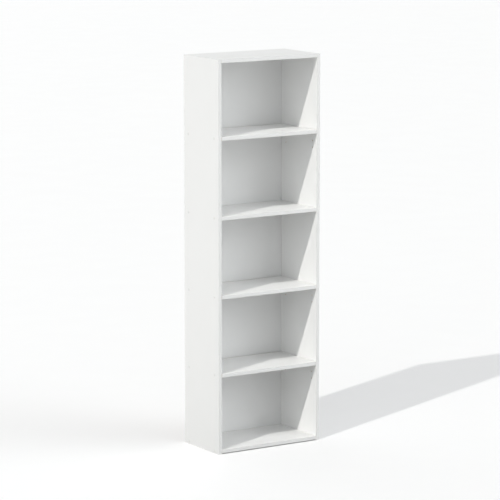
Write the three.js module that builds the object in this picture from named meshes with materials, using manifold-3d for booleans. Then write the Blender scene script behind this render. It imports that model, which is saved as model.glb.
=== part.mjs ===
// A tall, narrow bookcase of white faced chipboard. Two full-height sides stand on the floor and
// hold a top panel, a bottom panel and one fixed shelf. Three more shelves rest on pins, so they
// lift off and can be hung one or two holes lower. A thin back closes the rear.
// Units are millimetres. X runs across the front, the front faces -Y, Z is up, the floor is z = 0.

import * as THREE from 'three';
import { mergeVertices } from 'three/addons/utils/BufferGeometryUtils.js';
import Module from 'manifold-3d';

const wasm = await Module();
wasm.setup();

// ---- Driving dimensions ---------------------------------------------------------------------

const width = 545;
const depth = 300;
const height = 1800;
const board = 16; // thickness of every side, panel and shelf
const backThickness = 3;
const gap = 0.3; // left between two pieces that meet
const floorGap = 4; // under the bottom panel
const firstShelfUnderside = 356;
const shelfSpacing = 360;
const shelfSideClearance = 1; // each end of a loose shelf
const shelfRearClearance = 4;
const fittingSetback = 37; // from the front and rear edges to each row of fittings

const screw = {
  headRadius: 5,
  headRim: 1,
  headLength: 3,
  shankRadius: 3.5,
  shoulderLength: 14,
  shoulderTaper: 1,
  threadRadius: 3.1,
  length: 50,
  tipLength: 3,
  socketRadius: 2.3,
  socketDepth: 2.4,
  socketSides: 6,
};
const screwHole = { radius: 3.8, headRadius: 5.4, headDepth: 3.6, endDepth: 38 };
const pilotHole = { radius: 2.5, depth: 36 };

const cap = { radius: 6.5, rim: 0.6, dome: 1.3, bevel: 1.2, crown: 0.2 };
const screwCapStem = { radius: 1.7, length: 2.2 };
const holeCapStem = { radius: 3.2, length: 8 };

const pin = {
  shankRadius: 2.5,
  shankLength: 8,
  supportRadius: 3.25,
  supportLength: 9,
  chamfer: 0.4,
};
const pinHole = { radius: 2.65, depth: 9, pitch: 32, sparesBelow: 2 };

const camLock = {
  radius: 7.4,
  height: 12.2,
  setback: 34, // from the side's inner face
  slotHalfWidth: 4.1,
  crossLength: 9,
  crossWidth: 1.4,
  crossDepth: 1,
};
const camHole = { radius: 7.9, depth: 13 };
const camBolt = {
  threadRadius: 2.5,
  threadLength: 10.5,
  bodyRadius: 3.4,
  neckStart: 27.5, // from the side's inner face
  neckRadius: 2.1,
  neckLength: 3.2,
  neckTaper: 0.5,
  headLength: 3.5,
};
const camBoltHole = { sideRadius: 2.65, sideDepth: 11.5, panelRadius: 4 };

const bracket = {
  width: 40,
  topLeg: 21,
  wallLeg: 22,
  thickness: 1.5,
  bendRadius: 2.5,
  holeRadius: 2.2,
  wallHoleRadius: 2.75,
};
const bracketScrew = {
  headRadius: 3.4,
  headHeight: 2.1,
  headRim: 1,
  shankRadius: 1.6,
  length: 12,
  tipLength: 2,
};
const bracketScrewHole = { radius: 2, depth: 12.5 };
const backWallHoleRadius = 4;
const backInset = 2; // the back stops this far inside the outline of the case

const roundSegments = 16;
const bendSegments = 4;
const cutOvershoot = 1; // how far a cutter starts outside the face that it opens

// ---- Worked-out places ----------------------------------------------------------------------

const frontY = -depth / 2;
const backFrontFaceY = depth / 2 - backThickness;
const boardDepth = depth - backThickness - gap;
const boardRearY = frontY + boardDepth;
const innerHalf = width / 2 - board;
const fixedLength = 2 * (innerHalf - gap);
const looseLength = 2 * (innerHalf - shelfSideClearance);
const looseDepth = boardDepth - shelfRearClearance;
const topUnderside = height - board;

const sides = [
  { name: 'left', sign: -1 },
  { name: 'right', sign: 1 },
];
const rows = [
  { name: 'front', y: frontY + fittingSetback },
  { name: 'rear', y: boardRearY - fittingSetback },
];
const shelfUnderside = (number) => firstShelfUnderside + number * shelfSpacing;
const levels = [
  { name: 'bottom', node: 'bottom_panel', underside: floorGap, fixed: true },
  { name: 'lowest', node: 'lowest_adjustable_shelf', underside: shelfUnderside(0) },
  { name: 'lower_middle', node: 'lower_middle_adjustable_shelf', underside: shelfUnderside(1) },
  { name: 'middle', node: 'fixed_middle_shelf', underside: shelfUnderside(2), fixed: true },
  { name: 'upper', node: 'upper_adjustable_shelf', underside: shelfUnderside(3) },
];
const screwHeight = (level) => level.underside + board / 2;
const pinHeight = (level) => level.underside - gap - pin.supportRadius;
const wallHoleHeight = topUnderside - gap - bracket.wallLeg / 2 - bracket.thickness / 2;

// ---- Materials ------------------------------------------------------------------------------

function material(color, roughness, metalness = 0) {
  return new THREE.MeshStandardMaterial({ color, roughness, metalness });
}

const materials = {
  whiteBoard: material(0xf0f0ee, 0.55),
  whiteBack: material(0xebebe9, 0.6),
  whitePlastic: material(0xececea, 0.45),
  nickel: material(0xb9b8b2, 0.3, 1),
  zinc: material(0xa9abad, 0.4, 1),
};

// ---- Solid modelling helpers ----------------------------------------------------------------

function toManifold(geometry) {
  const plain = geometry.clone();
  plain.deleteAttribute('normal');
  plain.deleteAttribute('uv');
  const merged = mergeVertices(plain, 1e-4);
  const index = merged.index.array;
  const triangles = [];
  for (let i = 0; i < index.length; i += 3) {
    const [a, b, c] = [index[i], index[i + 1], index[i + 2]];
    if (a !== b && b !== c && c !== a) triangles.push(a, b, c);
  }
  const vertProperties = new Float32Array(merged.attributes.position.array);
  const mesh = new wasm.Mesh({ numProp: 3, vertProperties, triVerts: new Uint32Array(triangles) });
  return new wasm.Manifold(mesh);
}

function toGeometry(solid) {
  const mesh = solid.getMesh();
  const geometry = new THREE.BufferGeometry();
  const positions = new Float32Array(mesh.vertProperties);
  geometry.setAttribute('position', new THREE.BufferAttribute(positions, 3));
  geometry.setIndex(new THREE.BufferAttribute(new Uint32Array(mesh.triVerts), 1));
  return geometry;
}

function cut(geometry, cutters) {
  const solid = cutters.reduce((rest, cutter) => rest.subtract(toManifold(cutter)), toManifold(geometry));
  return toGeometry(solid);
}

// A round bore along X from x0 to x1, at (y, z).
function boreX(radius, x0, x1, y, z) {
  const bore = new THREE.CylinderGeometry(radius, radius, Math.abs(x1 - x0), roundSegments);
  bore.rotateZ(Math.PI / 2);
  return bore.translate((x0 + x1) / 2, y, z);
}

// A round bore along Y from y0 to y1, at (x, z).
function boreY(radius, x, z, y0, y1) {
  const bore = new THREE.CylinderGeometry(radius, radius, Math.abs(y1 - y0), roundSegments);
  return bore.translate(x, (y0 + y1) / 2, z);
}

// A round bore along Z from z0 to z1, at (x, y).
function boreZ(radius, x, y, z0, z1) {
  const bore = new THREE.CylinderGeometry(radius, radius, Math.abs(z1 - z0), roundSegments);
  bore.rotateX(Math.PI / 2);
  return bore.translate(x, y, (z0 + z1) / 2);
}

function lathe(profile) {
  const points = profile.map(([radius, along]) => new THREE.Vector2(radius, along));
  return new THREE.LatheGeometry(points, roundSegments);
}

const bookcase = new THREE.Group();
bookcase.name = 'bookcase';

function add(name, geometry, look, x, y, z) {
  const mesh = new THREE.Mesh(geometry, look);
  mesh.name = name;
  mesh.position.set(x, y, z);
  bookcase.add(mesh);
  return mesh;
}

// A turned piece whose axis runs from the side's outer face towards the middle of the case.
function addInward(name, geometry, look, side, x, y, z) {
  const mesh = add(name, geometry, look, side.sign * x, y, z);
  mesh.rotation.z = (side.sign * Math.PI) / 2;
  return mesh;
}

// ---- Boards ---------------------------------------------------------------------------------

// Each side is drilled for the screws, the shelf pins and the cam bolts, in two rows.
function sidePanel(side) {
  const blank = new THREE.BoxGeometry(board, boardDepth, height);
  const centreY = frontY + boardDepth / 2;
  const outward = side.sign;
  const outer = (outward * board) / 2;
  const inner = -outer;
  const pastInner = inner - outward * cutOvershoot;
  const pastOuter = outer + outward * cutOvershoot;
  const cutters = [];
  for (const row of rows) {
    const y = row.y - centreY;
    for (const level of levels) {
      const z = screwHeight(level) - height / 2;
      const headFloor = outer - outward * screwHole.headDepth;
      cutters.push(boreX(screwHole.radius, pastInner, pastOuter, y, z));
      cutters.push(boreX(screwHole.headRadius, headFloor, pastOuter, y, z));
      if (level.fixed) continue;
      for (let step = 0; step <= pinHole.sparesBelow; step += 1) {
        const pinZ = pinHeight(level) - step * pinHole.pitch - height / 2;
        cutters.push(boreX(pinHole.radius, pastInner, inner + outward * pinHole.depth, y, pinZ));
      }
    }
    const boltZ = topUnderside + board / 2 - height / 2;
    const boltFloor = inner + outward * camBoltHole.sideDepth;
    cutters.push(boreX(camBoltHole.sideRadius, pastInner, boltFloor, y, boltZ));
  }
  const x = side.sign * (innerHalf + board / 2);
  add(`${side.name}_side_panel`, cut(blank, cutters), materials.whiteBoard, x, centreY, height / 2);
}

// The bottom panel and the shelves: a board bored in both ends for the screws.
function levelBoard(level) {
  const length = level.fixed ? fixedLength : looseLength;
  const boardY = level.fixed ? boardDepth : looseDepth;
  const centreY = frontY + boardY / 2;
  const radius = level.fixed ? screwHole.radius : pilotHole.radius;
  const boreDepth = level.fixed ? screwHole.endDepth : pilotHole.depth;
  const cutters = [];
  for (const side of sides) {
    const end = (side.sign * length) / 2;
    const pastEnd = end + side.sign * cutOvershoot;
    for (const row of rows) {
      cutters.push(boreX(radius, end - side.sign * boreDepth, pastEnd, row.y - centreY, 0));
    }
  }
  const blank = new THREE.BoxGeometry(length, boardY, board);
  add(level.node, cut(blank, cutters), materials.whiteBoard, 0, centreY, screwHeight(level));
}

// The top panel holds the cam locks in its underside and takes the cam bolts in its ends.
function topPanel() {
  const centreY = frontY + boardDepth / 2;
  const blank = new THREE.BoxGeometry(fixedLength, boardDepth, board);
  const under = -board / 2;
  const pastUnder = under - cutOvershoot;
  const cutters = [];
  for (const side of sides) {
    const pastEnd = side.sign * (fixedLength / 2 + cutOvershoot);
    const camX = side.sign * (innerHalf - camLock.setback);
    for (const row of rows) {
      const y = row.y - centreY;
      cutters.push(boreX(camBoltHole.panelRadius, camX, pastEnd, y, 0));
      cutters.push(boreZ(camHole.radius, camX, y, pastUnder, under + camHole.depth));
    }
  }
  const screwY = bracketScrewY() - centreY;
  cutters.push(boreZ(bracketScrewHole.radius, 0, screwY, pastUnder, under + bracketScrewHole.depth));
  add('top_panel', cut(blank, cutters), materials.whiteBoard, 0, centreY, topUnderside + board / 2);
}

// The back is a thin sheet behind the rear edges, with a hole for the screw that goes to the wall.
function backPanel() {
  const sheetWidth = width - 2 * backInset;
  const sheetHeight = height - 2 * backInset - floorGap;
  const centreZ = floorGap + backInset + sheetHeight / 2;
  const blank = new THREE.BoxGeometry(sheetWidth, backThickness, sheetHeight);
  const past = backThickness / 2 + cutOvershoot;
  const hole = boreY(backWallHoleRadius, 0, wallHoleHeight - centreZ, -past, past);
  const centreY = backFrontFaceY + backThickness / 2;
  add('back_panel', cut(blank, [hole]), materials.whiteBack, 0, centreY, centreZ);
}

// ---- Screws and caps ------------------------------------------------------------------------

function screwGeometry() {
  const body = lathe([
    [0, 0],
    [screw.headRadius, 0],
    [screw.headRadius, screw.headRim],
    [screw.shankRadius, screw.headLength],
    [screw.shankRadius, screw.shoulderLength],
    [screw.threadRadius, screw.shoulderLength + screw.shoulderTaper],
    [screw.threadRadius, screw.length - screw.tipLength],
    [0, screw.length],
  ]);
  const { socketRadius, socketDepth, socketSides } = screw;
  const socket = new THREE.CylinderGeometry(socketRadius, socketRadius, 2 * socketDepth, socketSides);
  return cut(body, [socket]);
}

// A cap is a shallow dome on a stem. Its rim lies on the side's outer face.
function capGeometry(stem) {
  return lathe([
    [0, -cap.dome],
    [cap.radius - cap.bevel, cap.crown - cap.dome],
    [cap.radius, -cap.rim],
    [cap.radius, 0],
    [stem.radius, 0],
    [stem.radius, stem.length],
    [0, stem.length],
  ]);
}

function screwsAndCaps(level, side) {
  const screwShape = screwGeometry();
  const capShape = capGeometry(level.fixed ? screwCapStem : holeCapStem);
  const z = screwHeight(level);
  for (const row of rows) {
    const place = `${level.name}_${side.name}_${row.name}`;
    const kind = level.fixed ? 'screw_cap' : 'hole_cap';
    addInward(`${kind}_${place}`, capShape, materials.whitePlastic, side, width / 2 + gap, row.y, z);
    if (!level.fixed) continue;
    const headX = width / 2 - gap;
    addInward(`assembly_screw_${place}`, screwShape, materials.zinc, side, headX, row.y, z);
  }
}

// ---- Shelf pins -----------------------------------------------------------------------------

// The thin shank sits in the side and the thicker end carries the shelf.
function pinGeometry() {
  const shoulder = pin.shankLength;
  const end = shoulder + pin.supportLength;
  return lathe([
    [0, 0],
    [pin.shankRadius - pin.chamfer, 0],
    [pin.shankRadius, pin.chamfer],
    [pin.shankRadius, shoulder],
    [pin.supportRadius, shoulder],
    [pin.supportRadius, end - pin.chamfer],
    [pin.supportRadius - pin.chamfer, end],
    [0, end],
  ]);
}

function shelfPins(level, side) {
  const shape = pinGeometry();
  const startX = innerHalf + pin.shankLength - gap;
  for (const row of rows) {
    const name = `shelf_pin_${level.name}_${side.name}_${row.name}`;
    addInward(name, shape, materials.nickel, side, startX, row.y, pinHeight(level));
  }
}

// ---- Cam fittings in the top panel ----------------------------------------------------------

// The lock is a round block with an open slot for the bolt's head and a cross for a screwdriver.
function camLockGeometry(side) {
  const block = boreZ(camLock.radius, 0, 0, -camLock.height / 2, camLock.height / 2);
  const { radius, height: lockHeight, slotHalfWidth, crossLength, crossWidth, crossDepth } = camLock;
  const slotFloor = board / 2 - slotHalfWidth - gap - lockHeight / 2;
  const slot = new THREE.BoxGeometry(2 * radius, 2 * slotHalfWidth, lockHeight);
  slot.translate(side.sign * (radius - slotHalfWidth), 0, slotFloor + lockHeight / 2);
  const crossAlong = new THREE.BoxGeometry(crossLength, crossWidth, 2 * crossDepth);
  const crossAcross = new THREE.BoxGeometry(crossWidth, crossLength, 2 * crossDepth);
  crossAlong.translate(0, 0, -lockHeight / 2);
  crossAcross.translate(0, 0, -lockHeight / 2);
  return cut(block, [slot, crossAlong, crossAcross]);
}

function camBoltGeometry() {
  const faceAt = camBolt.threadLength;
  const neckAt = faceAt + camBolt.neckStart;
  const headAt = neckAt + camBolt.neckLength;
  const endAt = headAt + camBolt.headLength;
  return lathe([
    [0, 0],
    [camBolt.threadRadius, 0],
    [camBolt.threadRadius, faceAt],
    [camBolt.bodyRadius, faceAt + gap],
    [camBolt.bodyRadius, neckAt],
    [camBolt.neckRadius, neckAt + camBolt.neckTaper],
    [camBolt.neckRadius, headAt],
    [camBolt.bodyRadius, headAt],
    [camBolt.bodyRadius, endAt],
    [0, endAt],
  ]);
}

function camFittings(side) {
  const boltShape = camBoltGeometry();
  const lockShape = camLockGeometry(side);
  const camX = side.sign * (innerHalf - camLock.setback);
  const camZ = topUnderside + gap + camLock.height / 2;
  const boltZ = topUnderside + board / 2;
  for (const row of rows) {
    const place = `${side.name}_${row.name}`;
    add(`cam_lock_${place}`, lockShape, materials.zinc, camX, row.y, camZ);
    const startX = innerHalf + camBolt.threadLength;
    addInward(`cam_bolt_${place}`, boltShape, materials.nickel, side, startX, row.y, boltZ);
  }
}

// ---- Wall bracket ---------------------------------------------------------------------------

function bracketScrewY() {
  return backFrontFaceY - gap - bracket.topLeg / 2 - bracket.thickness / 2;
}

// A bent steel angle under the rear of the top panel. One leg screws to the panel and the other
// takes the screw that holds the bookcase to the wall.
function wallBracket() {
  const { topLeg, wallLeg, thickness, bendRadius } = bracket;
  const outline = new THREE.Shape();
  outline.moveTo(-topLeg, 0);
  outline.lineTo(-bendRadius, 0);
  outline.absarc(-bendRadius, -bendRadius, bendRadius, Math.PI / 2, 0, true);
  outline.lineTo(0, -wallLeg);
  outline.lineTo(-thickness, -wallLeg);
  outline.lineTo(-thickness, -bendRadius);
  outline.absarc(-bendRadius, -bendRadius, bendRadius - thickness, 0, Math.PI / 2, false);
  outline.lineTo(-topLeg, -thickness);
  outline.closePath();
  const plate = new THREE.ExtrudeGeometry(outline, {
    depth: bracket.width,
    bevelEnabled: false,
    curveSegments: bendSegments,
  });
  plate.translate(0, 0, -bracket.width / 2);
  // The outline's plane becomes the YZ plane, with the width along X.
  plate.applyMatrix4(new THREE.Matrix4().makeBasis(
    new THREE.Vector3(0, 1, 0),
    new THREE.Vector3(0, 0, 1),
    new THREE.Vector3(1, 0, 0),
  ));
  const cornerY = backFrontFaceY - gap;
  const cornerZ = topUnderside - gap;
  const screwY = bracketScrewY() - cornerY;
  const wallZ = wallHoleHeight - cornerZ;
  const panelHole = boreZ(bracket.holeRadius, 0, screwY, -2 * thickness, thickness);
  const wallHole = boreY(bracket.wallHoleRadius, 0, wallZ, -2 * thickness, thickness);
  add('wall_bracket', cut(plate, [panelHole, wallHole]), materials.zinc, 0, cornerY, cornerZ);
}

function bracketScrewPiece() {
  const { headRadius, headHeight, headRim, shankRadius, tipLength } = bracketScrew;
  const tipAt = headHeight + bracketScrew.length;
  const shape = lathe([
    [0, 0],
    [headRadius - headRim, 0],
    [headRadius, headRim],
    [headRadius, headHeight],
    [shankRadius, headHeight],
    [shankRadius, tipAt - tipLength],
    [0, tipAt],
  ]);
  shape.rotateX(Math.PI / 2);
  const z = topUnderside - 2 * gap - bracket.thickness - headHeight;
  add('bracket_screw', shape, materials.zinc, 0, bracketScrewY(), z);
}

// ---- The assembly ---------------------------------------------------------------------------

for (const side of sides) sidePanel(side);
topPanel();
for (const level of levels) levelBoard(level);
backPanel();
for (const level of levels) {
  for (const side of sides) {
    screwsAndCaps(level, side);
    if (!level.fixed) shelfPins(level, side);
  }
}
for (const side of sides) camFittings(side);
wallBracket();
bracketScrewPiece();

export default bookcase;
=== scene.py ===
import math
import random
from types import SimpleNamespace

import bmesh
import bpy
from mathutils import Matrix, Vector


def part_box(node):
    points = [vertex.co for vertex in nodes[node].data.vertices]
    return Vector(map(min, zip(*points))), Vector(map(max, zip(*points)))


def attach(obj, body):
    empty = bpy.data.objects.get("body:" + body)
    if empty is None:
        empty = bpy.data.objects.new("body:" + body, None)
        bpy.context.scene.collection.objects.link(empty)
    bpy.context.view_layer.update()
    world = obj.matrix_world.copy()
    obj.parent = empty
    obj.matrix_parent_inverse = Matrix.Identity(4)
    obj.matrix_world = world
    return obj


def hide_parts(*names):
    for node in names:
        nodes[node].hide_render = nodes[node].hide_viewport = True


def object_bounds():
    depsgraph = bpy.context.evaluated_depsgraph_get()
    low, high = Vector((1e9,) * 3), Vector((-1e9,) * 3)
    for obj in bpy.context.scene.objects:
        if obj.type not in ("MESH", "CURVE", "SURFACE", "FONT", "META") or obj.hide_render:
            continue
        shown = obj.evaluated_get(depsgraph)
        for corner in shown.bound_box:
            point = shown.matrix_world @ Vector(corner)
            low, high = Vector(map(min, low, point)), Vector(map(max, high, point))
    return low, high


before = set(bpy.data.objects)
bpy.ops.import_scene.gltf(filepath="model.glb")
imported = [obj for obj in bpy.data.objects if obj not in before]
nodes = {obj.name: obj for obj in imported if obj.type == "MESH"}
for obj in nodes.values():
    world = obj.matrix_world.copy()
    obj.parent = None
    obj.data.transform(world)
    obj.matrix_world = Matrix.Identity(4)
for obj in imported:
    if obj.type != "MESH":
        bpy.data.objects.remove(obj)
cad_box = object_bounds()
random.seed(7)

MM = 0.001

# ---- The view ---------------------------------------------------------------------------------

CAMERA_AZIMUTH = math.radians(-32.39)  # the camera stands to the front left
CAMERA_ELEVATION = math.radians(9.46)
CAMERA_DISTANCE = 12.513
CAMERA_LENS = 196.2  # millimetres
CAMERA_SENSOR = 36  # millimetres
CAMERA_AIM = Vector((-0.0076, 0.0045, 0.8985))
FAR_CLIP = 400

# ---- Light ------------------------------------------------------------------------------------

SUN_TRAVEL = Vector((1.077, 0.463, -1.0))
SUN_STRENGTH = 1.86
SUN_ANGLE = math.radians(1.0)
SUN_COLOUR = (1.0, 0.985, 0.955)
SKY_COLOUR = (0.965, 0.987, 1.0)
SOFT_LIGHTS = (
    # degrees round from the front towards the right, degrees up, tightness, brightness
    (45, 20, 10, 4.65),
    (-45, 30, 10, 1.40),
    (-90, 22, 3, 0.60),
    (180, 22, 3, 1.02),
)
BACKDROP_COLOUR = (0.93, 0.935, 0.94)

FLOOR_SIZE = 160
FLOOR_WHITE = (0.62, 0.62, 0.62)  # to the camera
FLOOR_GLOW = 0.34  # a painted glow, to the camera, that lightens the floor's shadows
FLOOR_REFLECTED_NEAR = 0.28  # to all other light, in the dim patch
FLOOR_REFLECTED_FAR = 0.56  # to all other light, away from it
DIM_FLOOR_CENTRE = Vector((-0.35, -0.85, 0))  # round here the floor throws back less light
DIM_FLOOR_RADIUS = 0.5
FULL_FLOOR_RADIUS = 1.6
GLOW_FADE = 4 * MM  # on each side of the case's outline, to no glow under it: painted shade under the case

# ---- Sizes of the detail ----------------------------------------------------------------------


def millimetres(**sizes):
    """Named sizes, given in millimetres and kept in metres."""
    return SimpleNamespace(**{name: size * MM for name, size in sizes.items()})


EDGE_ROUND = 0.4 * MM
SMALL_ROUND = 0.2 * MM
ROUND_SEGMENTS = 3
ROUND_ANGLE = math.radians(40)  # sharper edges than this are rounded
WELD_DISTANCE = 0.01 * MM
FLAT_ANGLE = math.radians(1)
SHARP_ANGLE = math.radians(35)  # a turned piece is shaded smooth across blunter edges than this

FACING = 0.5 * MM  # deeper than this inside a board is bare chipboard
STRIP = 0.6 * MM  # thickness of the strip that covers a front edge
SAWN = 0.1 * MM  # a surface this near a bare end or the rear edge of a board is sawn
LACQUER = 0.25 * MM  # a surface this near the front of the back sheet is lacquered
SCREEN_PITCH = 1.9 * MM  # of the marks that the press's wire screen leaves on hardboard

BOARDS = (
    "left_side_panel",
    "right_side_panel",
    "top_panel",
    "bottom_panel",
    "lowest_adjustable_shelf",
    "lower_middle_adjustable_shelf",
    "fixed_middle_shelf",
    "upper_adjustable_shelf",
)

ROUND_STEPS = 3  # in the arc that rounds a corner of an outline
DOME_STEPS = 8
TURNED_SEGMENTS = 48
THREAD_SEGMENTS = 36
THREAD_ROWS = 10  # rows of points in one turn of a thread
THREAD_SHARPNESS = 2.6  # a thread's ridge fills 2 divided by this of its pitch

# A piece's plain sizes, such as its neck, are radii, and an inset, shoulder or taper is measured
# across it. Starts, ends, depths, heights, lengths, slopes, rises, spacings and pitches lie along it,
# unless a comment says otherwise.

CAP = millimetres(
    crown_height=0.2,
    head_height=1.3,
    rim_height=0.6,
    shoulder=1.2,  # from the crown's rim out to the head's edge
    gate=0.8,  # the mark left in the middle by the mould
    gate_depth=0.12,
    gate_lip_depth=0.02,
    long_length=5,  # a longer cap than this has a thick ribbed stem
    thick_stem=3.2,
    thin_stem=1.7,
    collar_height=0.15,
    neck_start=0.4,
    rib_start=1.6,
    rib_spacing=1.8,
    rib_rise=0.4,
    rib_length=1.1,
    tip_length=0.6,
    rounding=0.22,
)
CAP_RIBS = 3
CAP_COLLAR = 1.25  # this and the next two are shares of the stem's radius
CAP_CORE = 0.94
CAP_TIP = 0.75
CAP_GATE_FLOOR = 0.7  # this and the next are shares of the gate's radius
CAP_GATE_CLEAR = 1.2

PIN = millimetres(
    shank=2.5,
    shank_length=8,
    chamfer=0.4,
    groove_start=1.8,
    groove_spacing=1.7,
    groove_depth=0.15,  # into the shank, not along it
    groove_slope=0.2,
    groove_floor_length=0.3,
    dimple=1.2,
    dimple_depth=0.35,
    rounding=0.12,
)
PIN_GROOVES = 3

SCREW = millimetres(
    socket_across=3.9,
    socket_mouth_across=4.4,
    socket_mouth_depth=0.25,
    socket_wall_depth=2.3,
    socket_depth=2.4,
    face=3.2,  # where the flat face begins, outside the socket
    head_height=1.0,
    neck=3.5,
    neck_start=3.0,
    neck_end=14.0,
    step=2.2,
    step_end=15.2,
    thread_start=15.6,
    thread_stop_length=3,  # from the thread's end to the tip
    root=2.15,
    crest=3.1,
    pitch=3.0,
    tip=1.2,
    tip_length=1.0,
    rounding=0.3,
)

BOLT = millimetres(
    tip=1.6,
    thread_start=0.3,
    thread_end=10.2,
    root=1.75,
    crest=2.5,
    pitch=1.4,
    step=2.0,
    step_start=10.5,
    step_end=10.9,
    neck=2.1,
    neck_slope=0.5,
    neck_length=6.7,  # from the neck's start to the ball's end
    ball_length=3.5,
    ball_slope_length=3.3,
    ball_end_length=0.9,
    ball_taper=1.2,
    rounding=0.35,
)

BRACKET_SCREW = millimetres(
    recess_length=3.6,  # this and the next three are the full sizes of the cross
    recess_width=0.9,
    recess_floor_length=1.6,
    recess_floor_width=0.5,
    recess_depth=1.1,
    recess_lip_depth=0.02,
    face=2.1,
    shoulder=0.7,
    shoulder_depth=0.25,
    side_start=1.2,
    head_height=2.1,
    neck=1.3,
    thread_start=2.3,
    thread_stop_length=2.2,
    root=1.1,
    crest=1.6,
    pitch=1.3,
    rounding=0.3,
)

NAIL = millimetres(
    head=2.6,
    face_inset=0.3,
    face_depth=0.03,
    edge_depth=0.25,
    underside_inset=0.2,
    underside_depth=0.6,
    shank=0.8,
    shank_start=0.9,
    length=20,
    point_length=2,
    rounding=0.12,
    # the rest place the nails on the sheet
    proud=0.25,  # how far a head stands out of it
    room=0.35,  # how much thinner it is than its node, so that the heads stay inside the case
    spacing=172,
    from_end=45,  # from its ends to the first and last nail of a column
    from_middle=135,  # in a row, from its middle nail to the others
    stray=1.5,
)
NAIL_SEGMENTS = 24
NAIL_TILT = math.radians(2)

# ---- Colours ----------------------------------------------------------------------------------

# A name in the plural is a pair of shades that a pattern blends between.
MELAMINE_WHITES = ((0.834, 0.834, 0.825), (0.862, 0.862, 0.854))
MELAMINE_SPECK = (0.77, 0.77, 0.76)
MELAMINE_WORN = (0.68, 0.67, 0.64)
# The front edge strip: partly a real greyer edging, partly painted shade for the dimmer light on the front
# faces.
STRIP_GREY_WITH_PAINTED_SHADE = (0.720, 0.720, 0.711)
STRIP_SEAM = (0.45, 0.43, 0.39)
CHIPBOARD_BROWNS = ((0.55, 0.42, 0.27), (0.70, 0.58, 0.41))
CHIPBOARD_DARK_FLAKE = (0.38, 0.26, 0.15)
LACQUER_WHITES = ((0.825, 0.828, 0.825), (0.85, 0.853, 0.85))
FIBRE_BROWNS = ((0.270, 0.168, 0.098), (0.370, 0.245, 0.147))
FIBRE_FLECK = (0.185, 0.110, 0.062)
FIBRE_DARK_CLOUD = (0.27, 0.163, 0.092)
FIBRE_PALE_STREAK = (0.46, 0.325, 0.205)
PLASTIC_WHITES = ((0.77, 0.77, 0.755), (0.81, 0.81, 0.795))
ZINC_GREYS = ((0.56, 0.57, 0.60), (0.68, 0.69, 0.70))
NICKEL_GREYS = ((0.60, 0.575, 0.53), (0.71, 0.69, 0.65))
CAST_GREYS = ((0.44, 0.45, 0.47), (0.60, 0.61, 0.62))

# For each kind of Mix node: its first input, its second input and its output.
MIX_SOCKETS = {"FLOAT": (2, 3, 0), "RGBA": (6, 7, 2)}


# ---- Building node trees ----------------------------------------------------------------------


class Nodes:
    """A node tree, built a step at a time. Where a value is asked for, a socket does as well."""

    def __init__(self, tree):
        self.tree = tree

    def add(self, kind, **settings):
        node = self.tree.nodes.new(kind)
        for key, value in settings.items():
            setattr(node, key, value)
        return node

    def feed(self, socket, value):
        if isinstance(value, bpy.types.NodeSocket):
            self.tree.links.new(value, socket)
        elif isinstance(value, tuple) and len(value) == 3 and socket.type == "RGBA":
            socket.default_value = (*value, 1)
        else:
            socket.default_value = value

    def math(self, operation, *values):
        node = self.add("ShaderNodeMath", operation=operation)
        for socket, value in zip(node.inputs, values):
            self.feed(socket, value)
        return node.outputs[0]


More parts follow.
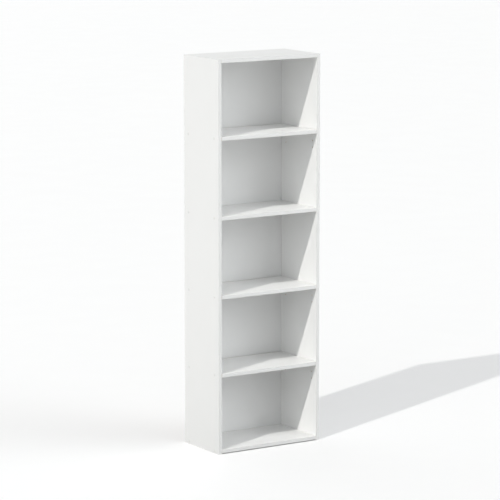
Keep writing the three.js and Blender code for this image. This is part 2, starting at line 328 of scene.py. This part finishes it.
class Look(Nodes):
    """One node material. Places are in metres, in the object's own frame."""

    def __init__(self, name):
        self.material = bpy.data.materials.new(name)
        self.material.use_nodes = True
        super().__init__(self.material.node_tree)
        self.surface = self.tree.nodes["Principled BSDF"]
        self.place = self.add("ShaderNodeTexCoord").outputs["Object"]

    def set(self, **values):
        """Sets the surface shader's own sockets, such as Base_Color or Roughness."""
        for key, value in values.items():
            self.feed(self.surface.inputs[key.replace("_", " ")], value)

    def ramp(self, value, start, end, first=0.0, last=1.0):
        """Goes smoothly from first to last as value goes from start to end."""
        node = self.add("ShaderNodeMapRange", interpolation_type="SMOOTHSTEP")
        for socket, given in zip(node.inputs, (value, start, end, first, last)):
            self.feed(socket, given)
        return node.outputs[0]

    def mix(self, kind, share, first, second):
        node = self.add("ShaderNodeMix", data_type=kind)
        first_input, second_input, output = MIX_SOCKETS[kind]
        self.feed(node.inputs["Factor"], share)
        self.feed(node.inputs[first_input], first)
        self.feed(node.inputs[second_input], second)
        return node.outputs[output]

    def blend(self, share, first, second):
        """Mixes two colours: the first at share 0, the second at share 1."""
        return self.mix("RGBA", share, first, second)

    def blend_value(self, share, first, second):
        """Mixes two numbers in the same way."""
        return self.mix("FLOAT", share, first, second)

    def stretched(self, factors):
        """The place with each axis scaled; a factor under 1 draws a pattern out along its axis."""
        node = self.add("ShaderNodeVectorMath", operation="MULTIPLY")
        self.feed(node.inputs[0], self.place)
        node.inputs[1].default_value = factors
        return node.outputs[0]

    def noise(self, size, detail=2.0, place=None, roughness=0.5):
        """Noise whose features are about size metres across."""
        node = self.add("ShaderNodeTexNoise")
        self.feed(node.inputs["Vector"], place or self.place)
        node.inputs["Scale"].default_value = 1 / size
        node.inputs["Detail"].default_value = detail
        node.inputs["Roughness"].default_value = roughness
        return node.outputs["Fac"]

    def cells(self, size, place=None):
        """Irregular cells about size metres across: (a random value for each, distance from its middle)."""
        node = self.add("ShaderNodeTexVoronoi")
        self.feed(node.inputs["Vector"], place or self.place)
        node.inputs["Scale"].default_value = 1 / size
        grey = self.add("ShaderNodeSeparateColor")
        self.feed(grey.inputs[0], node.outputs["Color"])
        return grey.outputs[0], node.outputs["Distance"]

    def wave(self, value, pitch):
        """A sine wave along a length, one turn for each pitch."""
        return self.math("SINE", self.math("MULTIPLY", value, math.tau / pitch))

    def distance(self, point):
        """How far a place is from a point."""
        node = self.add("ShaderNodeVectorMath", operation="DISTANCE")
        self.feed(node.inputs[0], self.place)
        node.inputs[1].default_value = point
        return node.outputs["Value"]

    def axes(self):
        node = self.add("ShaderNodeSeparateXYZ")
        self.feed(node.inputs[0], self.place)
        return node.outputs

    def inside_box(self, low, high):
        """How far a point lies inside each pair of a box's faces: along X, Y and Z."""
        depths = []
        for value, near, far in zip(self.axes(), low, high):
            off_middle = self.math("SUBTRACT", value, (near + far) / 2)
            off_middle = self.math("ABSOLUTE", off_middle)
            depths.append(self.math("SUBTRACT", (far - near) / 2, off_middle))
        return depths

    def bump(self, height, strength, distance, under=None):
        """A bumped normal, laid over another one if under is given."""
        node = self.add("ShaderNodeBump")
        node.inputs["Strength"].default_value = strength
        node.inputs["Distance"].default_value = distance
        self.feed(node.inputs["Height"], height)
        if under is not None:
            self.feed(node.inputs["Normal"], under)
        return node.outputs[0]


# ---- Camera, light and floor ------------------------------------------------------------------


def make_camera():
    data = bpy.data.cameras.new("camera")
    data.lens = CAMERA_LENS
    data.sensor_width = CAMERA_SENSOR
    data.clip_end = FAR_CLIP
    camera = bpy.data.objects.new("camera", data)
    camera.rotation_euler = (math.pi / 2 - CAMERA_ELEVATION, 0, CAMERA_AZIMUTH)
    towards = camera.rotation_euler.to_matrix() @ Vector((0, 0, -1))
    camera.location = CAMERA_AIM - CAMERA_DISTANCE * towards
    bpy.context.scene.collection.objects.link(camera)
    bpy.context.scene.camera = camera


def make_sun():
    data = bpy.data.lights.new("sun", "SUN")
    data.energy = SUN_STRENGTH
    data.angle = SUN_ANGLE
    data.color = SUN_COLOUR
    sun = bpy.data.objects.new("sun", data)
    sun.rotation_euler = SUN_TRAVEL.to_track_quat("-Z", "Y").to_euler()
    bpy.context.scene.collection.objects.link(sun)


def make_surround():
    """A white surround of broad soft lights, the strongest to the front right. The camera sees it plain."""
    world = bpy.data.worlds.new("surround")
    bpy.context.scene.world = world
    world.use_nodes = True
    sky = Nodes(world.node_tree)
    direction = sky.add("ShaderNodeTexCoord").outputs["Generated"]
    total = None
    for round_degrees, up_degrees, tightness, brightness in SOFT_LIGHTS:
        around, up = math.radians(round_degrees), math.radians(up_degrees)
        flat = math.cos(up)
        towards = (math.sin(around) * flat, -math.cos(around) * flat, math.sin(up))
        along = sky.add("ShaderNodeVectorMath", operation="DOT_PRODUCT")
        sky.feed(along.inputs[0], direction)
        sky.feed(along.inputs[1], towards)
        facing = sky.math("MAXIMUM", along.outputs["Value"], 0.0)
        lobe = sky.math("MULTIPLY", sky.math("POWER", facing, tightness), brightness)
        total = lobe if total is None else sky.math("ADD", total, lobe)

    light = world.node_tree.nodes["Background"]
    sky.feed(light.inputs["Color"], SKY_COLOUR)
    sky.feed(light.inputs["Strength"], total)
    backdrop = sky.add("ShaderNodeBackground")
    sky.feed(backdrop.inputs["Color"], BACKDROP_COLOUR)
    choose = sky.add("ShaderNodeMixShader")
    seen = sky.add("ShaderNodeLightPath").outputs["Is Camera Ray"]
    for socket, value in zip(choose.inputs, (seen, light.outputs[0], backdrop.outputs[0])):
        sky.feed(socket, value)
    sky.feed(world.node_tree.nodes["World Output"].inputs["Surface"], choose.outputs[0])


# ---- The object's materials -------------------------------------------------------------------


def chipboard(look):
    """Bare chipboard: pressed flakes of several browns. Returns its colour and its height."""
    flake, from_middle = look.cells(1.6 * MM, look.stretched((1.0, 1.0, 1.7)))
    fine = look.noise(0.5 * MM, detail=3)
    pale = look.blend(fine, *CHIPBOARD_BROWNS)
    colour = look.blend(look.ramp(flake, 0.60, 0.95), pale, CHIPBOARD_DARK_FLAKE)
    height = look.math("ADD", look.math("MULTIPLY", flake, 0.6), fine)
    return colour, look.math("SUBTRACT", height, from_middle)


def melamine(look):
    """White melamine paper with a fine pearl texture. Returns colour, roughness and height."""
    cloud = look.noise(220 * MM, detail=3)
    speck = look.noise(1.1 * MM, detail=2)
    white = look.blend(cloud, *MELAMINE_WHITES)
    colour = look.blend(look.ramp(speck, 0.58, 0.80, last=0.40), white, MELAMINE_SPECK)
    handled = look.noise(60 * MM, detail=4)
    rubbed = look.noise(7 * MM, detail=5, place=look.stretched((1.0, 1.0, 0.12)))
    roughness = look.ramp(handled, 0.3, 0.7, first=0.37, last=0.49)
    roughness = look.math("ADD", roughness, look.ramp(rubbed, 0.55, 0.75, last=0.10))
    coarse = look.noise(1.0 * MM, detail=2)
    fine = look.noise(0.35 * MM, detail=1)
    pearl = look.math("ADD", coarse, look.math("MULTIPLY", fine, 0.4))
    return colour, roughness, pearl


def box_edge(look, depths):
    """On a box's surface, the distance to the nearest edge: the middle one of the three depths."""
    x, y, z = depths
    smaller = look.math("MINIMUM", x, y)
    larger = look.math("MAXIMUM", x, y)
    return look.math("MAXIMUM", smaller, look.math("MINIMUM", larger, z))


def board_look(name, from_bare_end):
    """A faced board: melamine, a strip on the front edge, and bare chipboard where it is cut. The strip's
    darker grey is partly a real greyer edging and partly painted shade.
    """
    low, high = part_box(name)
    look = Look(f"faced_{name}")
    depths = look.inside_box(low, high)
    deepest = look.math("MINIMUM", look.math("MINIMUM", depths[0], depths[1]), depths[2])
    bored = look.math("GREATER_THAN", deepest, FACING)
    behind = look.math("SUBTRACT", high.y, look.axes()[1])
    bare = look.math("MAXIMUM", bored, look.math("LESS_THAN", behind, SAWN))
    bare = look.math("MAXIMUM", bare, look.math("LESS_THAN", from_bare_end(look, low, high), SAWN))

    white, white_roughness, pearl = melamine(look)
    from_front = look.math("SUBTRACT", look.axes()[1], low.y)
    off_seam = look.math("ABSOLUTE", look.math("SUBTRACT", from_front, STRIP))
    seam = look.ramp(off_seam, 0.05 * MM, 0.15 * MM, first=0.28, last=0.0)
    strip = look.math("LESS_THAN", from_front, STRIP)
    # Darkens the front faces: partly a greyer edging strip, partly painted shade.
    white = look.blend(strip, white, STRIP_GREY_WITH_PAINTED_SHADE)
    white = look.blend(seam, white, STRIP_SEAM)

    edge = box_edge(look, depths)
    ragged = look.math("MULTIPLY_ADD", look.noise(9 * MM, detail=5), 3.2 * MM, -1.2 * MM)
    worn = look.ramp(look.math("ADD", edge, ragged), 0.0, 0.9 * MM, first=0.50, last=0.0)
    white = look.blend(worn, white, MELAMINE_WORN)
    white_roughness = look.blend_value(worn, white_roughness, 0.62)

    flakes, flake_height = chipboard(look)
    look.set(Base_Color=look.blend(bare, white, flakes))
    look.set(Roughness=look.blend_value(bare, white_roughness, 0.88))
    smooth = look.bump(pearl, strength=0.38, distance=0.06 * MM)
    rough = look.math("MULTIPLY", flake_height, bare)
    look.set(Normal=look.bump(rough, strength=0.6, distance=0.25 * MM, under=smooth))
    return look.material


def from_foot(look, low, high):
    """How far a point is above a side's foot, which is sawn bare."""
    return look.math("SUBTRACT", look.axes()[2], low.z)


def from_shelf_end(look, low, high):
    """How far a point is from the nearer end of a shelf, both of which are sawn bare."""
    return look.math("SUBTRACT", high.x, look.math("ABSOLUTE", look.axes()[0]))


def hardboard_fibre(look):
    """Bare hardboard: fibres, dark flecks and clouds, pale streaks. Returns its colour and its height."""
    fibre = look.noise(1.6 * MM, detail=6, place=look.stretched((1.0, 1.0, 0.6)), roughness=0.7)
    flecks = look.noise(0.7 * MM, detail=3)
    tone = look.noise(140 * MM, detail=4)
    streak = look.noise(40 * MM, detail=4, place=look.stretched((1.0, 1.0, 0.15)))
    brown = look.blend(look.ramp(fibre, 0.3, 0.7), *FIBRE_BROWNS)
    brown = look.blend(look.ramp(flecks, 0.62, 0.75, last=0.45), brown, FIBRE_FLECK)
    brown = look.blend(look.ramp(tone, 0.35, 0.7, last=0.55), brown, FIBRE_DARK_CLOUD)
    brown = look.blend(look.ramp(streak, 0.45, 0.75, last=0.30), brown, FIBRE_PALE_STREAK)
    return brown, fibre


def back_look():
    """Thin hardboard: white lacquer inside, bare brown fibre with the press's screen marks behind."""
    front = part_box("back_panel")[0].y
    look = Look("back_sheet")
    x, y, z = look.axes()
    lacquered = look.math("LESS_THAN", look.math("SUBTRACT", y, front), LACQUER)
    white = look.blend(look.noise(180 * MM, detail=3), *LACQUER_WHITES)
    brown, fibre = hardboard_fibre(look)
    look.set(Base_Color=look.blend(lacquered, brown, white))

    gloss = look.ramp(look.noise(45 * MM, detail=3), 0.3, 0.7, first=0.46, last=0.56)
    look.set(Roughness=look.blend_value(lacquered, 0.78, gloss))
    screen = look.math("MULTIPLY", look.wave(x, SCREEN_PITCH), look.wave(z, SCREEN_PITCH))
    rough = look.math("ADD", look.math("MULTIPLY", screen, 0.5), fibre)
    smooth = look.math("MULTIPLY", look.noise(1.5 * MM, detail=2), 0.5)
    height = look.blend_value(lacquered, rough, smooth)
    look.set(Normal=look.bump(height, strength=0.45, distance=0.12 * MM))
    return look.material


def plastic_look():
    """White moulded caps, a touch greyer than the boards."""
    look = Look("moulded_white")
    look.set(Base_Color=look.blend(look.noise(4 * MM, detail=3), *PLASTIC_WHITES))
    gloss = look.noise(1.5 * MM, detail=3)
    look.set(Roughness=look.ramp(gloss, 0.3, 0.7, first=0.30, last=0.40))
    grain = look.noise(0.5 * MM, detail=2)
    look.set(Normal=look.bump(grain, strength=0.12, distance=0.03 * MM))
    look.set(Subsurface_Weight=0.05, Subsurface_Scale=0.5 * MM)
    return look.material


def zinc_look():
    """Bright zinc plating with a faint spangle and scuffs."""
    look = Look("zinc_plate")
    spangle, _ = look.cells(1.8 * MM)
    scuff = look.noise(3 * MM, detail=5)
    look.set(Base_Color=look.blend(spangle, *ZINC_GREYS))
    look.set(Metallic=1.0)
    worn = look.math("MULTIPLY_ADD", spangle, 0.10, 0.26)
    look.set(Roughness=look.math("ADD", worn, look.ramp(scuff, 0.5, 0.75, last=0.14)))
    look.set(Normal=look.bump(scuff, strength=0.12, distance=0.03 * MM))
    return look.material


def nickel_look():
    """Nickel plate on a turned pin or bolt, with fine rings from the lathe."""
    look = Look("turned_nickel")
    rings = look.noise(0.25 * MM, detail=2, place=look.stretched((1.0, 0.02, 0.02)))
    look.set(Base_Color=look.blend(look.noise(2.5 * MM, detail=4), *NICKEL_GREYS))
    look.set(Metallic=1.0)
    look.set(Roughness=look.ramp(rings, 0.3, 0.7, first=0.18, last=0.32))
    look.set(Normal=look.bump(rings, strength=0.15, distance=0.02 * MM))
    return look.material


def cast_look():
    """Satin die-cast zinc alloy."""
    look = Look("cast_alloy")
    mottle = look.noise(2 * MM, detail=5, roughness=0.6)
    look.set(Base_Color=look.blend(mottle, *CAST_GREYS))
    look.set(Metallic=1.0)
    look.set(Roughness=look.ramp(mottle, 0.3, 0.7, first=0.38, last=0.55))
    look.set(Normal=look.bump(mottle, strength=0.3, distance=0.05 * MM))
    return look.material


def floor_look():
    """A pale floor to the camera with a painted glow, and a duller one to all other light. The glow
    lightens the floor's shadows and stops under the case, which paints shade there.
    """
    look = Look("pale_floor")
    seen_white = look.blend(look.noise(1.4, detail=3), FLOOR_WHITE, tuple(c * 0.985 for c in FLOOR_WHITE))
    away = look.distance(DIM_FLOOR_CENTRE)
    reflected = look.ramp(
        away, DIM_FLOOR_RADIUS, FULL_FLOOR_RADIUS, first=FLOOR_REFLECTED_NEAR, last=FLOOR_REFLECTED_FAR
    )
    seen = look.add("ShaderNodeLightPath").outputs["Is Camera Ray"]
    look.set(Base_Color=look.blend(seen, reflected, seen_white))
    look.set(Roughness=look.ramp(look.noise(0.3, detail=3), 0.3, 0.7, first=0.62, last=0.72))
    look.set(Normal=look.bump(look.noise(4 * MM, detail=3), strength=0.05, distance=0.2 * MM))
    look.set(Specular_IOR_Level=0.3)
    look.set(Emission_Color=(1.0, 1.0, 1.0))
    across, along, _ = look.inside_box(*cad_box)
    under = look.math("MINIMUM", across, along)
    # Painted light: a glow to the camera that lightens the floor's shadows, cut off under the case, which
    # paints shade there.
    glow = look.ramp(under, -GLOW_FADE, GLOW_FADE, first=FLOOR_GLOW, last=0.0)
    look.set(Emission_Strength=look.math("MULTIPLY", seen, glow))
    return look.material


# ---- Pieces -----------------------------------------------------------------------------------


def wear(obj, material):
    obj.data.materials.clear()
    obj.data.materials.append(material)


def soften_edges(obj, radius=EDGE_ROUND):
    """Joins the split corners of a CAD mesh and rounds its sharp edges."""
    weld = obj.modifiers.new("weld", "WELD")
    weld.merge_threshold = WELD_DISTANCE
    flat = obj.modifiers.new("flat", "DECIMATE")
    flat.decimate_type = "DISSOLVE"
    flat.angle_limit = FLAT_ANGLE
    bevel = obj.modifiers.new("round", "BEVEL")
    bevel.width = radius
    bevel.segments = ROUND_SEGMENTS
    bevel.limit_method = "ANGLE"
    bevel.angle_limit = ROUND_ANGLE


def rounded(outline, radius):
    """Rounds the corners of an outline of (radius, along) points; its first and last points stay."""
    points = [Vector(point) for point in outline]
    result = [points[0]]
    for before, corner, after in zip(points, points[1:], points[2:]):
        back, onward = before - corner, after - corner
        reach = min(radius, back.length / 2.1, onward.length / 2.1)
        start = corner + back.normalized() * reach
        end = corner + onward.normalized() * reach
        for step in range(ROUND_STEPS + 1):
            t = step / ROUND_STEPS
            result.append(start * (1 - t) ** 2 + corner * 2 * t * (1 - t) + end * t**2)
    return result + [points[-1]]


def dome(rim_radius, height):
    """Points of a shallow dome from its middle, at 0, out to its rim."""
    points = []
    for step in range(DOME_STEPS + 1):
        t = math.pi / 2 * step / DOME_STEPS
        points.append((rim_radius * math.sin(t), height - height * math.cos(t)))
    return points


def hexagon(across):
    """A hexagon's radius at an angle. across is from flat to flat."""
    return lambda angle: across / 2 / math.cos((angle + math.pi / 6) % (math.pi / 3) - math.pi / 6)


def cross(length, width):
    """A cross's radius at an angle."""

    def radius(angle):
        from_arm = abs((angle + math.pi / 4) % (math.pi / 2) - math.pi / 4)
        return min(length / 2, width / 2 / max(math.sin(from_arm), 0.001))

    return radius


def thread(start, end, root, crest, pitch):
    """Rings of a helical thread, which runs out smoothly at both ends."""
    rows = round((end - start) / pitch * THREAD_ROWS)
    rings = []
    for row in range(rows + 1):
        along = start + (end - start) * row / rows
        fade = min(1.0, (along - start) / pitch, (end - along) / pitch)

        def radius(angle, along=along, fade=fade):
            phase = (along / pitch - angle / math.tau) % 1.0
            ridge = max(0.0, 1.0 - abs(phase - 0.5) * THREAD_SHARPNESS)
            return root + (crest - root) * ridge * fade

        rings.append((radius, along))
    return rings


def ring_points(radius, along, angles):
    """The points of a ring about Z; a ring of no radius is one point."""
    if radius == 0:
        return [(0, 0, along)]
    reach = radius if callable(radius) else lambda angle: radius
    return [(reach(angle) * math.cos(angle), reach(angle) * math.sin(angle), along) for angle in angles]


def turned_mesh(name, rings, segments):
    """A closed body about Z. A ring is (radius, along); a radius is a number or a function of the angle."""
    shape = bmesh.new()
    angles = [math.tau * k / segments for k in range(segments)]
    loops = []
    for radius, along in rings:
        loops.append([shape.verts.new(point) for point in ring_points(radius, along, angles)])
    for near, far in zip(loops, loops[1:]):
        for k in range(segments):
            corners = [near[k % len(near)], near[(k + 1) % len(near)]]
            corners += [far[(k + 1) % len(far)], far[k % len(far)]]
            shape.faces.new(list(dict.fromkeys(corners)))  # at a point two corners are the same
    bmesh.ops.recalc_face_normals(shape, faces=shape.faces)
    mesh = bpy.data.meshes.new(name)
    shape.to_mesh(mesh)
    shape.free()
    mesh.shade_smooth()
    mesh.set_sharp_from_angle(angle=SHARP_ANGLE)
    return mesh


def place_piece(mesh, start, towards, material, body, node=None):
    """Puts a turned mesh at start, pointing towards, and makes it ride on its body."""
    turn = towards.to_track_quat("Z", "Y").to_matrix().to_4x4()
    mesh.transform(Matrix.Translation(start) @ turn)
    piece = bpy.data.objects.new(mesh.name, mesh)
    bpy.context.scene.collection.objects.link(piece)
    wear(piece, material)
    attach(piece, body)
    if node:
        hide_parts(node)


def node_axis(node):
    """The middle of a node's outer end, the way from there to the middle of the case, and its size."""
    low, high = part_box(node)
    middle = (low + high) / 2
    inward = Vector((-math.copysign(1, middle.x), 0, 0))
    start = middle - inward * (high.x - low.x) / 2
    return start, inward, high - low


def cap_face(radius):
    """A cap's outer face from its middle out: the mould's mark, then the crown."""
    gate = [
        (0, CAP.gate_depth),
        (CAP.gate * CAP_GATE_FLOOR, CAP.gate_depth),
        (CAP.gate, CAP.gate_lip_depth),
    ]
    crown = dome(radius - CAP.shoulder, CAP.crown_height)
    return gate + [point for point in crown if point[0] > CAP.gate * CAP_GATE_CLEAR]


def cap_ribs(stem, core):
    """Rings round a long cap's stem that hold it in its hole."""
    ribs = []
    for rib in range(CAP_RIBS):
        start = CAP.head_height + CAP.rib_start + CAP.rib_spacing * rib
        ribs += [(core, start), (stem, start + CAP.rib_rise), (core, start + CAP.rib_length)]
    return ribs


def make_cap(node, material):
    """A moulded cap: a shallow dome with a soft rim, on a stem that pushes into the hole."""
    start, inward, size = node_axis(node)
    radius = size.z / 2
    length = size.x
    is_long = length > CAP.long_length
    stem = CAP.thick_stem if is_long else CAP.thin_stem
    core = stem * CAP_CORE
    seat = CAP.head_height
    outline = cap_face(radius)
    outline += [
        (radius, seat - CAP.rim_height),
        (radius, seat),
        (stem * CAP_COLLAR, seat),
        (stem * CAP_COLLAR, seat + CAP.collar_height),
        (core, seat + CAP.neck_start),
    ]
    if is_long:
        outline += cap_ribs(stem, core)
    outline += [(core, length - CAP.tip_length), (stem * CAP_TIP, length), (0, length)]
    mesh = turned_mesh(f"moulded_{node}", rounded(outline, CAP.rounding), TURNED_SEGMENTS)
    place_piece(mesh, start, inward, material, "carcass", node)


def make_pin(node, material):
    """A turned pin: a thin grooved shank in the side and a thicker end under the shelf."""
    start, inward, size = node_axis(node)
    support = size.z / 2
    length = size.x
    outline = [(0, 0), (PIN.shank - PIN.chamfer, 0), (PIN.shank, PIN.chamfer)]
    for groove in range(PIN_GROOVES):
        at = PIN.groove_start + PIN.groove_spacing * groove
        floor = at + PIN.groove_slope
        floor_end = floor + PIN.groove_floor_length
        outline += [
            (PIN.shank, at),
            (PIN.shank - PIN.groove_depth, floor),
            (PIN.shank - PIN.groove_depth, floor_end),
            (PIN.shank, floor_end + PIN.groove_slope),
        ]
    outline += [
        (PIN.shank, PIN.shank_length),
        (support, PIN.shank_length),
        (support, length - PIN.chamfer),
        (support - PIN.chamfer, length),
        (PIN.dimple, length),
        (0, length - PIN.dimple_depth),
    ]
    mesh = turned_mesh(f"turned_{node}", rounded(outline, PIN.rounding), TURNED_SEGMENTS)
    body = node.replace("shelf_pin", "pin")
    place_piece(mesh, start, inward, material, body, node)


def make_assembly_screw(node, material):
    """A one-piece furniture screw: flat head with a hexagon socket, plain neck and coarse thread."""
    start, inward, size = node_axis(node)
    length = size.x
    head = size.z / 2
    socket = hexagon(SCREW.socket_across)
    rings = [
        (0, SCREW.socket_depth),
        (socket, SCREW.socket_wall_depth),
        (socket, SCREW.socket_mouth_depth),
        (hexagon(SCREW.socket_mouth_across), 0),
    ]
    body = [
        (SCREW.face, 0),
        (head, 0),
        (head, SCREW.head_height),
        (SCREW.neck, SCREW.neck_start),
        (SCREW.neck, SCREW.neck_end),
        (SCREW.step, SCREW.step_end),
    ]
    rings += rounded(body, SCREW.rounding)
    thread_end = length - SCREW.thread_stop_length
    rings += thread(SCREW.thread_start, thread_end, SCREW.root, SCREW.crest, SCREW.pitch)
    rings += [(SCREW.tip, length - SCREW.tip_length), (0, length)]
    mesh = turned_mesh(f"threaded_{node}", rings, THREAD_SEGMENTS)
    place_piece(mesh, start, inward, material, "carcass", node)


def make_cam_bolt(node, material):
    """A cam bolt: a threaded end in the side, a plain body, and a ball head behind a thin neck."""
    start, inward, size = node_axis(node)
    length = size.x
    body = size.z / 2
    neck_start = length - BOLT.neck_length
    rings = [(0, 0), (BOLT.tip, 0)]
    rings += thread(BOLT.thread_start, BOLT.thread_end, BOLT.root, BOLT.crest, BOLT.pitch)
    outline = [
        (BOLT.step, BOLT.step_start),
        (body, BOLT.step_end),
        (body, neck_start),
        (BOLT.neck, neck_start + BOLT.neck_slope),
        (BOLT.neck, length - BOLT.ball_length),
        (body, length - BOLT.ball_slope_length),
        (body, length - BOLT.ball_end_length),
        (body - BOLT.ball_taper, length),
        (0, length),
    ]
    rings += rounded(outline, BOLT.rounding)
    mesh = turned_mesh(f"threaded_{node}", rings, THREAD_SEGMENTS)
    place_piece(mesh, start, inward, material, "carcass", node)


def make_bracket_screw(node, material):
    """A short pan-head screw with a cross recess, pointing up into the top panel."""
    low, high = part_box(node)
    head = (high.x - low.x) / 2
    length = high.z - low.z
    floor = cross(BRACKET_SCREW.recess_floor_length, BRACKET_SCREW.recess_floor_width)
    mouth = cross(BRACKET_SCREW.recess_length, BRACKET_SCREW.recess_width)
    rings = [
        (0, BRACKET_SCREW.recess_depth),
        (floor, BRACKET_SCREW.recess_depth),
        (mouth, BRACKET_SCREW.recess_lip_depth),
    ]
    pan = [
        (BRACKET_SCREW.face, 0),
        (head - BRACKET_SCREW.shoulder, BRACKET_SCREW.shoulder_depth),
        (head, BRACKET_SCREW.side_start),
        (head, BRACKET_SCREW.head_height),
    ]
    rings += rounded(pan, BRACKET_SCREW.rounding)
    rings += [(BRACKET_SCREW.neck, BRACKET_SCREW.head_height)]
    rings += thread(
        BRACKET_SCREW.thread_start,
        length - BRACKET_SCREW.thread_stop_length,
        BRACKET_SCREW.root,
        BRACKET_SCREW.crest,
        BRACKET_SCREW.pitch,
    )
    rings += [(0, length)]
    start = Vector(((low.x + high.x) / 2, (low.y + high.y) / 2, low.z))
    mesh = turned_mesh(f"threaded_{node}", rings, THREAD_SEGMENTS)
    place_piece(mesh, start, Vector((0, 0, 1)), material, "carcass", node)


def make_back():
    """The visible back sheet: its node's shape, with the rear moved in to make room for the nail heads."""
    low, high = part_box("back_panel")
    mesh = nodes["back_panel"].data.copy()
    for point in mesh.vertices:
        if point.co.y > (low.y + high.y) / 2:
            point.co.y -= NAIL.room
    sheet = bpy.data.objects.new("back_sheet", mesh)
    bpy.context.scene.collection.objects.link(sheet)
    wear(sheet, back_look())
    soften_edges(sheet, SMALL_ROUND)
    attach(sheet, "carcass")
    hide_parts("back_panel")


def nail_places():
    """Where the nails go: up both sides, and across the bottom, fixed shelf and top."""
    low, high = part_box("back_panel")
    side_low, side_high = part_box("right_side_panel")
    column = (side_low.x + side_high.x) / 2
    first, last = low.z + NAIL.from_end, high.z - NAIL.from_end
    count = round((last - first) / NAIL.spacing)
    places = []
    for sign in (-1, 1):
        places += [(sign * column, first + (last - first) * k / count) for k in range(count + 1)]
    for name in ("bottom_panel", "fixed_middle_shelf", "top_panel"):
        board_low, board_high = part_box(name)
        middle = (board_low.z + board_high.z) / 2
        places += [(x, middle) for x in (-NAIL.from_middle, 0.0, NAIL.from_middle)]
    return places


def make_nails(material):
    """Small flat-headed nails that hold the back, a little out of line as a hammer leaves them."""
    sheet_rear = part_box("back_panel")[1].y - NAIL.room
    outline = [
        (0, 0),
        (NAIL.head - NAIL.face_inset, NAIL.face_depth),
        (NAIL.head, NAIL.edge_depth),
        (NAIL.head - NAIL.underside_inset, NAIL.underside_depth),
        (NAIL.shank, NAIL.shank_start),
        (NAIL.shank, NAIL.length - NAIL.point_length),
        (0, NAIL.length),
    ]
    rings = rounded(outline, NAIL.rounding)
    for number, (x, z) in enumerate(nail_places(), 1):
        x += random.uniform(-NAIL.stray, NAIL.stray) / 2
        z += random.uniform(-NAIL.stray, NAIL.stray)
        start = Vector((x, sheet_rear + NAIL.proud, z))
        tilt_x = random.uniform(-NAIL_TILT, NAIL_TILT)
        tilt_z = random.uniform(-NAIL_TILT, NAIL_TILT)
        mesh = turned_mesh(f"back_nail_{number}", rings, NAIL_SEGMENTS)
        place_piece(mesh, start, Vector((tilt_x, -1, tilt_z)), material, "carcass")


def make_floor():
    half = FLOOR_SIZE / 2
    mesh = bpy.data.meshes.new("floor")
    corners = [(-half, -half, 0), (half, -half, 0), (half, half, 0), (-half, half, 0)]
    mesh.from_pydata(corners, [], [(0, 1, 2, 3)])
    floor = bpy.data.objects.new("floor", mesh)
    bpy.context.scene.collection.objects.link(floor)
    wear(floor, floor_look())


def make_boards():
    """Boards keep their nodes: each gets its material and rounded edges."""
    for name in BOARDS:
        from_bare_end = from_foot if name.endswith("side_panel") else from_shelf_end
        wear(nodes[name], board_look(name, from_bare_end))
        soften_edges(nodes[name])


def make_fittings():
    plastic, zinc, nickel, cast = plastic_look(), zinc_look(), nickel_look(), cast_look()
    for name in sorted(nodes):
        if "_cap_" in name:
            make_cap(name, plastic)
        elif name.startswith("shelf_pin"):
            make_pin(name, nickel)
        elif name.startswith("assembly_screw"):
            make_assembly_screw(name, zinc)
        elif name.startswith("cam_bolt"):
            make_cam_bolt(name, nickel)
        elif name.startswith("bracket_screw"):
            make_bracket_screw(name, zinc)
        elif name.startswith("cam_lock"):
            wear(nodes[name], cast)
            soften_edges(nodes[name], SMALL_ROUND)
        elif name == "wall_bracket":
            wear(nodes[name], zinc)
            soften_edges(nodes[name], SMALL_ROUND)
    make_nails(zinc)


make_camera()
make_sun()
make_surround()
make_floor()
bpy.context.scene.view_settings.view_transform = "Standard"

make_boards()
make_back()
make_fittings()
